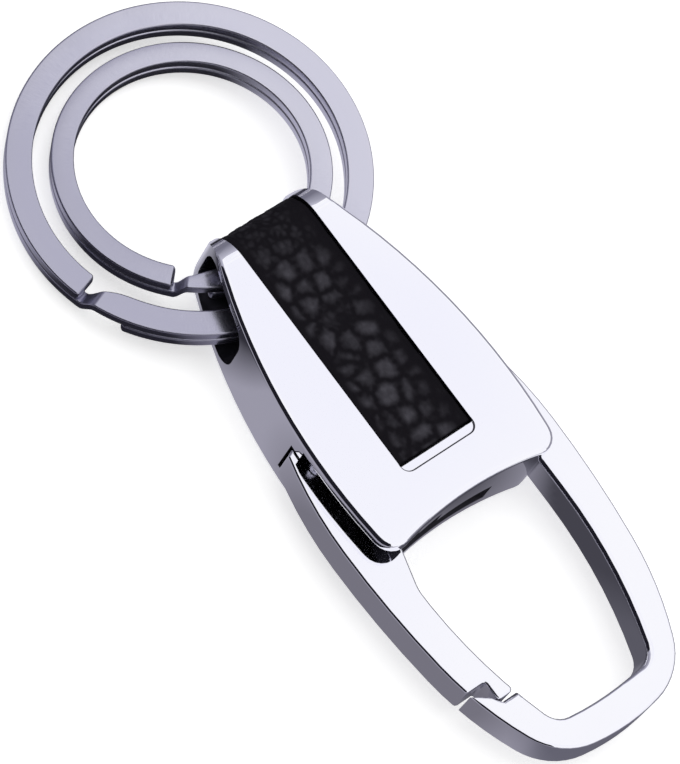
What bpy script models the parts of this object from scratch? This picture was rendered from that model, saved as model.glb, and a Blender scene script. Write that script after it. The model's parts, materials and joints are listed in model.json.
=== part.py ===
"""Leather keychain: a cast body with a carabiner hook, a sprung gate and two split rings.

The keychain lies on its back. +Y points from the hook to the rings, +X to the right of the
front face and +Z up out of it. Sizes are in metres, written as millimetres times MM.
Heights are measured from the back face, and places along Y from the body's widest line,
until lay_down() moves everything so that the origin is under the middle of the whole object.
"""

import math

import bmesh
import bpy
from mathutils import Matrix, Vector

MM = 0.001

# Body: plan outline, thickness and rounded tip
BODY_THICKNESS = 9.3 * MM
BODY_HALF_WIDTH = 11.05 * MM
BODY_SIDE_RADIUS = 61.0 * MM
BODY_FOOT = -9.2 * MM
BODY_FOOT_CORNER_RADIUS = 2.0 * MM
ARCH_SAG = 1.4 * MM
TIP_CORNER_RADIUS = 1.5 * MM
TIP_EDGE_RADIUS = 3.5 * MM
TIP_WALL = 0.6 * MM
BODY_EDGE_ROUND = 0.6 * MM
EDGE_ROUND = 0.3 * MM

# Hollow inside the body
FRONT_WALL = 1.6 * MM
BACK_WALL = 2.0 * MM
POCKET_RIGHT = 4.2 * MM
POCKET_LEFT = -7.4 * MM
POCKET_TOP = 4.6 * MM
POCKET_CORNER_RADIUS = 0.8 * MM
MOUTH_WALL = 1.2 * MM
MOUTH_TOP = 4.9 * MM

# Slot for the rings
SLOT_START = 15.25 * MM
SLOT_HEIGHT = 5.3 * MM
SLOT_CORNER_RADIUS = 2.2 * MM
SLOT_MOUTH_RISE = 0.8 * MM
SLOT_THROAT_LENGTH = 8.9 * MM

# Leather strip and its recess
STRIP_THICKNESS = 0.7 * MM
STRIP_WIDTH = 8.3 * MM
STRIP_SINK = 0.15 * MM
STRIP_FRONT_END = -2.3 * MM
STRIP_BACK_LENGTH = 10.0 * MM
STRIP_END_GAP = 0.3 * MM
LIP_WIDTH = 0.9 * MM
LIP_DEPTH = 0.16 * MM
LIP_CORNER_RADIUS = 1.0 * MM

# Hook: arm, foot and nose
HOOK_LOW = 2.45 * MM
HOOK_THICKNESS = 4.1 * MM
HOOK_OVERHANG = 1.9 * MM
HOOK_HALF_WIDTH = BODY_HALF_WIDTH + HOOK_OVERHANG
HOOK_WIDEST = -6.0 * MM
HOOK_SHOULDER_RADIUS = 40.0 * MM
HOOK_SHOULDER_RISE = 14.6 * MM
FLANK_RADIUS = 100.0 * MM
BEND_RADIUS = 33.0 * MM
CORNER_RADIUS = 7.0 * MM
INNER_FLANK_RADIUS = 50.0 * MM
INNER_CORNER_RADIUS = 2.2 * MM
HOOK_OUTER_ARCS = ((FLANK_RADIUS, 7.75), (BEND_RADIUS, 17.75), (CORNER_RADIUS, 54.5))
HOOK_INNER_ARCS = ((INNER_FLANK_RADIUS, 19.0), (INNER_CORNER_RADIUS, 63.0))
ARM_WIDTH = 3.95 * MM
FOOT_WIDTH = 3.35 * MM
ARM_ROUND = 0.7 * MM
ARM_ROUND_END = 0.1 * MM
ARM_ROUND_FADE = 5.0 * MM
NOSE_TOP = -23.25 * MM
NOSE_WIDTH = 1.75 * MM
NOSE_SLOPE = 0.9 * MM
NOSE_LEDGE = -25.25 * MM
LEDGE_CHAMFER = 0.4 * MM

# Gate, its pin and its spring
PIVOT_INSET = 3.85 * MM
PIVOT_UP = 2.3 * MM
GATE_ROOT_RADIUS = 2.95 * MM
GATE_ROOT_ARC = (120.0, -20.0)
GATE_HEEL_UP = 2.1 * MM
BAY_STEP_UP = 1.3 * MM
BAY_FRONT_WALL = 1.15 * MM
SWING_SIDE = -2.6 * MM
SWING_TOP = -6.0 * MM
GATE_SHOULDER = -22.85 * MM
GATE_TONGUE_END = -24.95 * MM
GATE_TONGUE_WIDTH = 1.95 * MM
GATE_TAPER_LENGTH = 14.8 * MM
GATE_WAIST_RADIUS = 4.5 * MM
GATE_CORNER_RADIUS = 0.4 * MM
PIN_RADIUS = 0.9 * MM
PIN_BLIND_DEPTH = 0.9 * MM
PIN_RECESS = 0.15 * MM
PIN_CHAMFER = 0.2 * MM
PIN_CLEARANCE = 0.08 * MM
SPRING_DROP = 3.4 * MM
SPRING_OUTER_RADIUS = 1.2 * MM
SPRING_WIRE_RADIUS = 0.17 * MM
SPRING_TURNS = 7
SPRING_LENGTH = 6.2 * MM
SPRING_POCKET_DEPTH = 1.5 * MM
SPRING_PEG_LENGTH = 1.0 * MM
SEAT_THICKNESS = 1.8 * MM
SEAT_WIDTH = 4.2 * MM

# Back cover and its screws
COVER_HALF_WIDTH = 7.0 * MM
COVER_BOTTOM = -6.0 * MM
COVER_TOP = 10.4 * MM
COVER_THICKNESS = 1.2 * MM
COVER_CORNER_RADIUS = 2.0 * MM
COVER_LEDGE = 0.9 * MM
SCREW_HEAD_RADIUS = 1.0 * MM
SCREW_HEAD_HEIGHT = 0.5 * MM
SCREW_RADIUS = 0.5 * MM
SCREW_LENGTH = 3.4 * MM
SCREW_CHAMFER = 0.15 * MM
SCREW_SLOT_WIDTH = 0.3 * MM
SCREW_SLOT_DEPTH = 0.25 * MM
SCREW_EDGE_INSET = 2.0 * MM
SCREW_RECESS = 0.1 * MM

# Split rings: outer radius, wire width and thickness of one layer
LARGE_RING_RADIUS = 17.5 * MM
LARGE_WIRE_WIDTH = 2.55 * MM
LARGE_WIRE_THICKNESS = 1.2 * MM
RING_INSET = 1.55 * MM
SMALL_RING_RADIUS = LARGE_RING_RADIUS - LARGE_WIRE_WIDTH - RING_INSET
SMALL_WIRE_WIDTH = 2.2 * MM
SMALL_WIRE_THICKNESS = 1.1 * MM
LAYER_GAP = 0.12 * MM
WIRE_CHAMFER = 0.15 * MM
RING_SIDE_GAP = 0.4 * MM
RING_SPACING = 1.75 * MM
LARGE_RING_END = 193.7
SMALL_RING_END = 223.4
RING_JOG = 15.0
RING_END_GAP = 3.0
RING_HINGE_SHARE = 0.35
RING_SWING_ROOM = 0.32 * MM
LARGE_RING_ROLL = 5.5
LARGE_RING_YAW = 2.8
SMALL_RING_ROLL = 3.5
SMALL_RING_YAW = 1.4

# Clearances
SEAT_GAP = 0.3 * MM
FLOOR_GAP = 0.05 * MM
OVERSHOOT = 2.0 * MM

# Facets
CHORD_ERROR = 0.015 * MM
CORNER_STEPS = 6
EDGE_STEPS = 2
ROUNDING_STEPS = 3
SKIN = 0.02 * MM
CORNER_ROOM = 0.7 * MM
SIDE_STEPS = 14
ROUND_SIDES = 32
RING_STEPS = 60
SPRING_STEPS = 10
DIP_STEPS = 40
STEEPEST_DIP = -20.0
WELD_DISTANCE = 0.002 * MM

PARTS = "leather_keychain"
CUTTERS = "cutters"


# Scene, collections and materials

def clear_scene():
    """Empties the scene and makes the two collections."""
    for obj in list(bpy.data.objects):
        bpy.data.objects.remove(obj, do_unlink=True)
    for name in (PARTS, CUTTERS):
        collection = bpy.data.collections.new(name)
        bpy.context.scene.collection.children.link(collection)


def make_material(name, colour, roughness, metallic):
    """A Principled BSDF material with the part's own colour."""
    material = bpy.data.materials.new(name)
    material.use_nodes = True
    shader = material.node_tree.nodes["Principled BSDF"]
    shader.inputs["Base Color"].default_value = (*colour, 1.0)
    shader.inputs["Roughness"].default_value = roughness
    shader.inputs["Metallic"].default_value = metallic
    material.diffuse_color = (*colour, 1.0)
    return material


def add_object(name, data, collection):
    """A new object in one of the two collections; a cutter shows as wire and never renders."""
    obj = bpy.data.objects.new(name, data)
    bpy.data.collections[collection].objects.link(obj)
    if collection == CUTTERS:
        obj.hide_render = True
        obj.display_type = "WIRE"
    return obj


# Plane geometry

def arc(centre, radius, start, end, steps=None):
    """Points of an arc, angles in degrees, in as many steps as its smoothness needs or as asked for."""
    if steps is None:
        step = math.degrees(2 * math.acos(1 - CHORD_ERROR / radius))
        steps = max(2, math.ceil(abs(end - start) / step))
    angles = [math.radians(start + (end - start) * i / steps) for i in range(steps + 1)]
    return [(centre[0] + radius * math.cos(a), centre[1] + radius * math.sin(a)) for a in angles]


def rounded(corners):
    """An outline from (x, y, radius) corners, each corner of some radius drawn as an arc."""
    points = []
    for i, (x, y, radius) in enumerate(corners):
        here = Vector((x, y))
        if radius == 0:
            points.append((x, y))
            continue
        back = (Vector(corners[i - 1][:2]) - here).normalized()
        ahead = (Vector(corners[(i + 1) % len(corners)][:2]) - here).normalized()
        half = back.angle(ahead) / 2
        centre = here + (back + ahead).normalized() * radius / math.sin(half)
        first = here + back * radius / math.tan(half) - centre
        turn = first.angle_signed(here + ahead * radius / math.tan(half) - centre)
        for step in range(CORNER_STEPS + 1):
            spoke = first.copy()
            spoke.rotate(Matrix.Rotation(-turn * step / CORNER_STEPS, 2))
            points.append(tuple(centre + spoke))
    return points


def box_corners(left, right, low, high, radius=0.0):
    """The corners of an upright rectangle, anticlockwise."""
    return [(left, low, radius), (right, low, radius), (right, high, radius), (left, high, radius)]


def joined_arcs(x, y, arcs):
    """Arcs that start downwards at (x, y) and bend towards -X, then one that meets the middle line squarely."""
    points = [(x, y)]
    heading = 0.0
    for radius, sweep in arcs:
        centre = (x - radius * math.cos(math.radians(heading)), y + radius * math.sin(math.radians(heading)))
        points += arc(centre, radius, -heading, -heading - sweep)[1:]
        heading += sweep
        x, y = points[-1]
    last = x / math.cos(math.radians(heading))
    centre = (0.0, y + last * math.sin(math.radians(heading)))
    return points + arc(centre, last, -heading, -90.0)[1:]


def between(chain, high, low):
    """The stretch of a downward chain of points from height high to height low, ends worked out.

    Points too close to the ends are left out, so that the corners there can be rounded.
    """
    inside = [point for point in chain if low + CORNER_ROOM < point[1] < high - CORNER_ROOM]
    return [(x_at(chain, high), high), *inside, (x_at(chain, low), low)]


def below(chain, high):
    """The stretch of a downward chain of points from height high to its end, its start worked out."""
    return [(x_at(chain, high), high), *[point for point in chain if point[1] < high - CORNER_ROOM]]


def x_at(chain, y):
    """The X where a downward chain of points passes height y."""
    for (xa, ya), (xb, yb) in zip(chain, chain[1:]):
        if ya >= y >= yb and ya > yb:
            return xa + (xb - xa) * (ya - y) / (ya - yb)
    raise ValueError("the chain of points doesn't reach this height")


def mirrored(points):
    """The same points on the other side of the middle line."""
    return [(-x, y) for x, y in points]


def body_half_width(y):
    """Half of the body's width at a place along it."""
    return BODY_HALF_WIDTH - BODY_SIDE_RADIUS + math.sqrt(BODY_SIDE_RADIUS**2 - y**2)


# Sizes that follow from the ones above

def sag(radius, half_chord):
    """How far a circle bends away from its middle point over half a chord."""
    return radius - math.sqrt(radius**2 - half_chord**2)


def small_ring_edge(half_chord):
    """How far towards the tip the yawed small ring's inner edge comes, at a distance from its middle."""
    edge = SMALL_RING_Y + SMALL_WIRE_WIDTH / 2 + sag(SMALL_RING_RADIUS - SMALL_WIRE_WIDTH, half_chord)
    return edge + half_chord * math.tan(math.radians(SMALL_RING_YAW))


LARGE_RING_Y = SLOT_START + RING_SIDE_GAP + LARGE_WIRE_WIDTH / 2
SMALL_RING_Y = LARGE_RING_Y + (LARGE_WIRE_WIDTH + SMALL_WIRE_WIDTH) / 2 + RING_SPACING
SLOT_END = small_ring_edge(SLOT_THROAT_LENGTH / 2) + SEAT_GAP + RING_SWING_ROOM
RECESS_DEPTH = STRIP_THICKNESS + SEAT_GAP + STRIP_SINK
TIP = SLOT_END + TIP_WALL + RECESS_DEPTH
MOUTH_HALF_LENGTH = body_half_width(TIP - TIP_CORNER_RADIUS)
MOUTH_END = small_ring_edge(MOUTH_HALF_LENGTH) + SEAT_GAP + RING_SWING_ROOM / 2
MID_HEIGHT = BODY_THICKNESS / 2
HOOK_HIGH = HOOK_LOW + HOOK_THICKNESS
HOOK_MIDDLE = HOOK_LOW + HOOK_THICKNESS / 2
PIVOT = Vector((PIVOT_INSET - HOOK_HALF_WIDTH, PIVOT_UP))
SPRING_Y = PIVOT_UP - SPRING_DROP
SPRING_START = PIVOT.x + GATE_ROOT_RADIUS - SPRING_POCKET_DEPTH
SEAT_FACE = SPRING_START + SPRING_LENGTH + SEAT_GAP
COVER_SEAT = COVER_THICKNESS + SEAT_GAP
UPPER_SCREW = Vector((0.0, COVER_TOP - SCREW_EDGE_INSET))
LOWER_SCREW = Vector((COVER_HALF_WIDTH - SCREW_EDGE_INSET + SCREW_RADIUS, COVER_BOTTOM + SCREW_EDGE_INSET))


def hook_outer_edge():
    """The hook's outer edge on the right, from its shoulder on the body down to the middle of the foot."""
    top = math.degrees(math.asin(HOOK_SHOULDER_RISE / HOOK_SHOULDER_RADIUS))
    centre = (HOOK_HALF_WIDTH - HOOK_SHOULDER_RADIUS, HOOK_WIDEST)
    shoulder = arc(centre, HOOK_SHOULDER_RADIUS, top, 0.0)
    return shoulder + joined_arcs(HOOK_HALF_WIDTH, HOOK_WIDEST, HOOK_OUTER_ARCS)[1:]


def hook_inner_edge():
    """The hook's inner edge on the right, from inside the body down to the middle of the foot."""
    x = HOOK_HALF_WIDTH - ARM_WIDTH
    drop = joined_arcs(x, 0.0, HOOK_INNER_ARCS)[-1][1]
    start = hook_outer_edge()[-1][1] + FOOT_WIDTH - drop
    return [(x, HOOK_WIDEST), *joined_arcs(x, start, HOOK_INNER_ARCS)]


# Solids

def slab(name, outlines, low, high, edge=0.0, collection=CUTTERS, axis="Z"):
    """A flat solid from closed outlines, low to high along the axis, its edges rounded by edge.

    With axis X the outlines are drawn in Y and Z.
    """
    curve = bpy.data.curves.new(name, "CURVE")
    curve.dimensions = "2D"
    curve.fill_mode = "BOTH"
    curve.extrude = (high - low) / 2 - edge
    curve.bevel_depth = edge
    curve.bevel_resolution = EDGE_STEPS
    curve.offset = -edge
    for outline in outlines:
        spline = curve.splines.new("POLY")
        spline.points.add(len(outline) - 1)
        for point, (x, y) in zip(spline.points, outline):
            point.co = (x, y, 0.0, 1.0)
        spline.use_cyclic_u = True
    flat = bpy.data.objects.new(name + "_outline", curve)
    bpy.context.scene.collection.objects.link(flat)
    middle = Matrix.Translation((0.0, 0.0, (low + high) / 2))
    turn = Matrix(((0, 0, 1, 0), (1, 0, 0, 0), (0, 1, 0, 0), (0, 0, 0, 1))) if axis == "X" else Matrix()
    solid = add_object(name, as_mesh(flat, name), collection)
    solid.data.transform(turn @ middle)
    return solid


def as_mesh(obj, name):
    """The evaluated mesh of an object, its caps welded; the object is removed."""
    bpy.context.view_layer.update()
    evaluated = obj.evaluated_get(bpy.context.evaluated_depsgraph_get())
    mesh = bpy.data.meshes.new_from_object(evaluated)
    mesh.name = name
    bpy.data.objects.remove(obj, do_unlink=True)
    shape = bmesh.new()
    shape.from_mesh(mesh)
    bmesh.ops.remove_doubles(shape, verts=shape.verts, dist=WELD_DISTANCE)
    bmesh.ops.recalc_face_normals(shape, faces=shape.faces)
    shape.to_mesh(mesh)
    shape.free()
    return mesh


def rod(name, radius, start, end, collection=CUTTERS):
    """A round bar between two points."""
    start = Vector(start)
    along = Vector(end) - start
    mesh = bpy.data.meshes.new(name)
    shape = bmesh.new()
    place = Matrix.Translation(start + along / 2) @ along.to_track_quat("Z", "Y").to_matrix().to_4x4()
    bmesh.ops.create_cone(shape, cap_ends=True, segments=ROUND_SIDES, radius1=radius, radius2=radius,
                          depth=along.length, matrix=place)
    shape.to_mesh(mesh)
    shape.free()
    return add_object(name, mesh, collection)


def turned(name, profile, place, collection=CUTTERS):
    """A solid turned about the vertical through place; the profile of (radius, height) runs top to bottom."""
    mesh = bpy.data.meshes.new(name)
    mesh.from_pydata([(radius, 0.0, height) for radius, height in profile],
                     [(i, i + 1) for i in range(len(profile) - 1)], [])
    obj = add_object(name, mesh, collection)
    obj.location = (place.x, place.y, 0.0)
    screw = obj.modifiers.new("turn", "SCREW")
    screw.steps = ROUND_SIDES
    screw.render_steps = ROUND_SIDES
    screw.use_merge_vertices = True
    screw.merge_threshold = WELD_DISTANCE
    return obj


def loft(name, rows):
    """A solid through a row of sections, each a closed ring of as many points."""
    shape = bmesh.new()
    rings = [[shape.verts.new(point) for point in row] for row in rows]
    for ring, ahead in zip(rings, rings[1:]):
        for i in range(len(ring)):
            j = (i + 1) % len(ring)
            shape.faces.new((ring[i], ring[j], ahead[j], ahead[i]))
    shape.faces.new(rings[0])
    shape.faces.new(rings[-1])
    bmesh.ops.recalc_face_normals(shape, faces=shape.faces)
    mesh = bpy.data.meshes.new(name)
    shape.to_mesh(mesh)
    shape.free()
    return add_object(name, mesh, CUTTERS)


def combine(target, other, operation):
    """Adds a Boolean modifier; the other object becomes a cutter."""
    modifier = target.modifiers.new(operation.lower() + "_" + other.name, "BOOLEAN")
    modifier.operation = operation
    modifier.object = other
    modifier.solver = "EXACT"


def cut(target, *cutters):
    """Takes each cutter away from the target."""
    for cutter in cutters:
        combine(target, cutter, "DIFFERENCE")


def join(target, *others):
    """Unites each other solid with the target."""
    for other in others:
        combine(target, other, "UNION")


def finish(obj, material, sharp=32.0):
    """Gives a part its material and smooth shading with sharp edges."""
    obj.data.materials.clear()
    obj.data.materials.append(material)
    obj.data.shade_smooth()
    obj.data.set_sharp_from_angle(angle=math.radians(sharp))
    return obj


# Body shell

def body_outline():
    """The body's plan: bowed sides, square tip with small corners, arched foot with round corners."""
    foot = BODY_FOOT_CORNER_RADIUS
    tip = TIP_CORNER_RADIUS
    start = BODY_FOOT + foot + CORNER_ROOM
    length = TIP - tip - CORNER_ROOM - start
    side = [(body_half_width(y), y) for y in (start + length * i / SIDE_STEPS for i in range(SIDE_STEPS + 1))]
    half = body_half_width(BODY_FOOT)
    arch_radius = (half**2 + ARCH_SAG**2) / (2 * ARCH_SAG)
    reach = half - foot - CORNER_ROOM
    arch = []
    for i in range(SIDE_STEPS + 1):
        x = -reach + 2 * reach * i / SIDE_STEPS
        arch.append((x, BODY_FOOT + ARCH_SAG - sag(arch_radius, x)))
    corners = [(x, y, 0.0) for x, y in arch]
    corners.append((half, BODY_FOOT, foot))
    corners += [(x, y, 0.0) for x, y in side]
    corners.append((body_half_width(TIP), TIP, tip))
    corners.append((-body_half_width(TIP), TIP, tip))
    corners += [(x, y, 0.0) for x, y in reversed(mirrored(side))]
    corners.append((-half, BODY_FOOT, foot))
    return rounded(corners)


def tip_path(depth):
    """The side view of the front face, rounded tip and back face, sunk by depth, from front to back."""
    radius = TIP_EDGE_RADIUS - depth
    start = TIP - TIP_EDGE_RADIUS
    front = arc((start, BODY_THICKNESS - TIP_EDGE_RADIUS), radius, 90.0, 0.0)
    back = arc((start, TIP_EDGE_RADIUS), radius, 0.0, -90.0)
    return front + back


def tip_corner_cutter():
    """What the rounded front and back edges of the tip take away."""
    path = tip_path(0.0)
    half = len(path) // 2
    beyond = TIP + OVERSHOOT
    front = [(path[0][0], BODY_THICKNESS + OVERSHOOT), *path[:half], (beyond, path[half - 1][1]),
             (beyond, BODY_THICKNESS + OVERSHOOT)]
    back = [(beyond, path[half][1]), *path[half:], (path[-1][0], -OVERSHOOT), (beyond, -OVERSHOOT)]
    return slab("tip_rounding", [front[::-1], back[::-1]], -BODY_HALF_WIDTH, BODY_HALF_WIDTH, axis="X")


def strip_recess_cutter():
    """The bed of the leather strip: down the front, round the tip and a short way up the back."""
    floor = tip_path(RECESS_DEPTH)
    front_end = STRIP_FRONT_END - STRIP_END_GAP
    back_end = TIP - TIP_EDGE_RADIUS - STRIP_BACK_LENGTH - STRIP_END_GAP
    high = BODY_THICKNESS + OVERSHOOT
    beyond = TIP + OVERSHOOT
    outline = [(front_end, high), (front_end, BODY_THICKNESS - RECESS_DEPTH), *floor,
               (back_end, RECESS_DEPTH), (back_end, -OVERSHOOT), (beyond, -OVERSHOOT), (beyond, high)]
    half = STRIP_WIDTH / 2 + SEAT_GAP
    return slab("strip_recess", [outline[::-1]], -half, half, axis="X")


def slot_section(x, start, end, height):
    """One rounded section of the ring slot, at a place across the body."""
    low = MID_HEIGHT - height / 2
    corners = box_corners(start, end, low, low + height, SLOT_CORNER_RADIUS)
    return [(x, y, z) for y, z in rounded(corners)]


def ring_slot_cutter():
    """The slot across the body, flared at both mouths so that the rings can swing."""
    throat = (SLOT_START, SLOT_END, SLOT_HEIGHT)
    mouth = (SLOT_START, MOUTH_END, SLOT_HEIGHT + 2 * SLOT_MOUTH_RISE)
    outside = BODY_HALF_WIDTH + OVERSHOOT
    half = SLOT_THROAT_LENGTH / 2
    stations = [(-outside, mouth), (-MOUTH_HALF_LENGTH, mouth), (-half, throat),
                (half, throat), (MOUTH_HALF_LENGTH, mouth), (outside, mouth)]
    return loft("ring_slot", [slot_section(x, *size) for x, size in stations])


def hook_solid():
    """The arm on the right, the foot and the nose, as one flat solid that starts inside the body."""
    outer = hook_outer_edge()
    inner = hook_inner_edge()
    nose = mirrored(below(outer, NOSE_TOP))[::-1]
    tip_x = nose[-1][0] + NOSE_WIDTH
    ledge_x = -x_at(inner, NOSE_LEDGE)
    inside = body_half_width(outer[0][1]) - ARM_WIDTH
    outline = [(inside, outer[0][1]), *outer, *nose[1:]]
    outline += [(tip_x - EDGE_ROUND, NOSE_TOP - NOSE_SLOPE), (tip_x, NOSE_TOP - NOSE_SLOPE - EDGE_ROUND)]
    outline += [(tip_x + EDGE_ROUND, NOSE_LEDGE + EDGE_ROUND), (tip_x + 2 * EDGE_ROUND, NOSE_LEDGE)]
    outline += [(ledge_x, NOSE_LEDGE), *mirrored(below(inner, NOSE_LEDGE))[1:]]
    outline += inner[::-1][1:]
    outline.append((inside, HOOK_WIDEST))
    hook = slab("hook", [outline], HOOK_LOW, HOOK_HIGH, EDGE_ROUND)
    cut(hook, arm_rounding_cutter(inner), ledge_chamfer_cutter(tip_x + 2 * EDGE_ROUND))
    hook.modifiers.new("weld", "WELD").merge_threshold = WELD_DISTANCE
    return hook


def ledge_chamfer_cutter(start):
    """What the slope at the ledge's front edge takes away, from the nose to beyond the loop's inside."""
    low = HOOK_HIGH - LEDGE_CHAMFER
    outline = [(NOSE_LEDGE, low), (NOSE_LEDGE - LEDGE_CHAMFER, HOOK_HIGH),
               (NOSE_LEDGE - LEDGE_CHAMFER - OVERSHOOT, HOOK_HIGH + OVERSHOOT),
               (NOSE_LEDGE + OVERSHOOT, HOOK_HIGH + OVERSHOOT), (NOSE_LEDGE + OVERSHOOT, low)]
    return slab("ledge_chamfer", [outline[::-1]], start, start + 2 * GATE_TONGUE_WIDTH, axis="X")


def arm_rounding_cutter(inner):
    """What the large rounding of the arm's inner front edge takes away; it fades out along the foot."""
    ahead = [*inner[1:], (inner[-1][0] - MM, inner[-1][1])]
    behind = [(inner[0][0], inner[0][1] + MM), *inner[:-1]]
    rows = []
    for here, before, after in zip(inner, behind, ahead):
        run = (Vector(after) - Vector(before)).normalized()
        inwards = Vector((-run.y, run.x))
        share = min(1.0, here[0] / ARM_ROUND_FADE)
        radius = ARM_ROUND_END + (ARM_ROUND - ARM_ROUND_END) * share
        centre = (radius - SKIN, HOOK_HIGH - radius)
        section = arc(centre, radius, 180.0, 90.0, ROUNDING_STEPS)
        section += [(radius, HOOK_HIGH + OVERSHOOT), (-ARM_ROUND, HOOK_HIGH + OVERSHOOT)]
        section.append((-ARM_ROUND, HOOK_HIGH - radius))
        rows.append([(*(Vector(here) + inwards * aside), height) for aside, height in section])
    return loft("arm_rounding", rows)


def gate_bay_cutters():
    """The open bay on the left that the gate swings in, one step higher in front of its round end."""
    radius = GATE_ROOT_RADIUS + SEAT_GAP
    outside = -HOOK_HALF_WIDTH - OVERSHOOT
    foot = BODY_FOOT - OVERSHOOT
    root = arc(PIVOT, radius, 0.0, 180.0)
    right = PIVOT.x + radius
    step = PIVOT.y + BAY_STEP_UP
    swing = [(SWING_SIDE, foot), (SWING_SIDE, SWING_TOP)]
    low = slab("gate_bay", [[*swing, *root, (outside, PIVOT.y), (outside, foot)]], BACK_WALL,
               HOOK_HIGH + SEAT_GAP)
    high = slab("gate_bay_step", [[(right, foot), (right, PIVOT.y), (PIVOT.x, step), (outside, step),
                                   (outside, foot)]], BACK_WALL, BODY_THICKNESS - BAY_FRONT_WALL)
    return low, high


def spring_pocket_cutters():
    """The hollow beside the gate that holds the spring, and its lower mouth through the arch."""
    wall = BODY_FOOT + ARCH_SAG + MOUTH_WALL
    corners = box_corners(POCKET_LEFT, POCKET_RIGHT, wall, POCKET_TOP)
    corners[2] = (POCKET_RIGHT, POCKET_TOP, POCKET_CORNER_RADIUS)
    hollow = slab("spring_pocket", [rounded(corners)], BACK_WALL, BODY_THICKNESS - FRONT_WALL)
    opening = box_corners(POCKET_LEFT, POCKET_RIGHT, BODY_FOOT - OVERSHOOT, wall + OVERSHOOT)
    return hollow, slab("pocket_mouth", [rounded(opening)], BACK_WALL, MOUTH_TOP)


def spring_seat():
    """The block and peg in the pocket that the spring pushes against."""
    corners = box_corners(SEAT_FACE, SEAT_FACE + SEAT_THICKNESS, SPRING_Y - SEAT_WIDTH / 2,
                          SPRING_Y + SEAT_WIDTH / 2)
    block = slab("spring_seat", [rounded(corners)], BACK_WALL - SEAT_GAP, BODY_THICKNESS - FRONT_WALL / 2)
    peg_radius = SPRING_OUTER_RADIUS - 2 * SPRING_WIRE_RADIUS - SEAT_GAP
    peg = rod("spring_peg", peg_radius, (SEAT_FACE - SPRING_PEG_LENGTH, SPRING_Y, HOOK_MIDDLE),
              (SEAT_FACE + SEAT_THICKNESS / 2, SPRING_Y, HOOK_MIDDLE))
    return block, peg


def cover_outline(grow):
    """The back cover's outline, grown by a clearance or shrunk by a ledge."""
    corners = box_corners(-COVER_HALF_WIDTH - grow, COVER_HALF_WIDTH + grow, COVER_BOTTOM - grow,
                          COVER_TOP + grow, COVER_CORNER_RADIUS + grow)
    return rounded(corners)


def strip_lip_cutter():
    """A shallow step beyond the strip's front end, its edges sloped and its corners round."""
    half = STRIP_WIDTH / 2 + SEAT_GAP + SKIN
    end = STRIP_FRONT_END - STRIP_END_GAP - LIP_WIDTH
    beyond = STRIP_FRONT_END + LIP_CORNER_RADIUS
    rows = []
    for rise in (-LIP_DEPTH, 0.0, OVERSHOOT):
        slope = min(rise, 0.0)
        corners = box_corners(-half - slope, half + slope, end - slope, beyond, LIP_CORNER_RADIUS + slope)
        rows.append([(x, y, BODY_THICKNESS + rise) for x, y in rounded(corners)])
    return loft("strip_lip", rows)


def cover_window():
    """The hole above the ledge, through which the spring goes in."""
    left = -COVER_HALF_WIDTH + COVER_LEDGE
    right = POCKET_RIGHT - COVER_LEDGE
    corners = box_corners(left, right, COVER_BOTTOM + COVER_LEDGE, POCKET_TOP - COVER_LEDGE,
                          POCKET_CORNER_RADIUS)
    seat_side = SEAT_FACE - SEAT_GAP
    corners[1] = (seat_side, corners[1][1], POCKET_CORNER_RADIUS)
    corners[2] = (seat_side, corners[2][1], POCKET_CORNER_RADIUS)
    return rounded(corners)


def make_body_shell(material):
    """The casting: body, hook arm, foot and nose, with all that is cut into them."""
    shell = slab("body_shell", [body_outline()], 0.0, BODY_THICKNESS, BODY_EDGE_ROUND, PARTS)
    cut(shell, tip_corner_cutter())
    join(shell, hook_solid())
    cut(shell, *gate_bay_cutters(), *spring_pocket_cutters())
    join(shell, *spring_seat())
    cut(shell, strip_recess_cutter(), strip_lip_cutter(), ring_slot_cutter())
    cut(shell, slab("cover_rebate", [cover_outline(SEAT_GAP)], -OVERSHOOT, COVER_SEAT))
    cut(shell, slab("cover_window", [cover_window()], -OVERSHOOT, BACK_WALL + SEAT_GAP))
    pin_top = BODY_THICKNESS - FRONT_WALL + PIN_BLIND_DEPTH
    cut(shell, rod("pin_hole", PIN_RADIUS + PIN_CLEARANCE, (*PIVOT, -OVERSHOOT), (*PIVOT, pin_top)))
    for name, place in (("upper", UPPER_SCREW), ("lower", LOWER_SCREW)):
        tap = rod("tapped_hole_" + name, SCREW_RADIUS + PIN_CLEARANCE, (*place, -OVERSHOOT),
                  (*place, SCREW_RECESS + SCREW_LENGTH + SEAT_GAP))
        cut(shell, tap)
    return finish(shell, material)


# Gate, pin and spring

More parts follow.
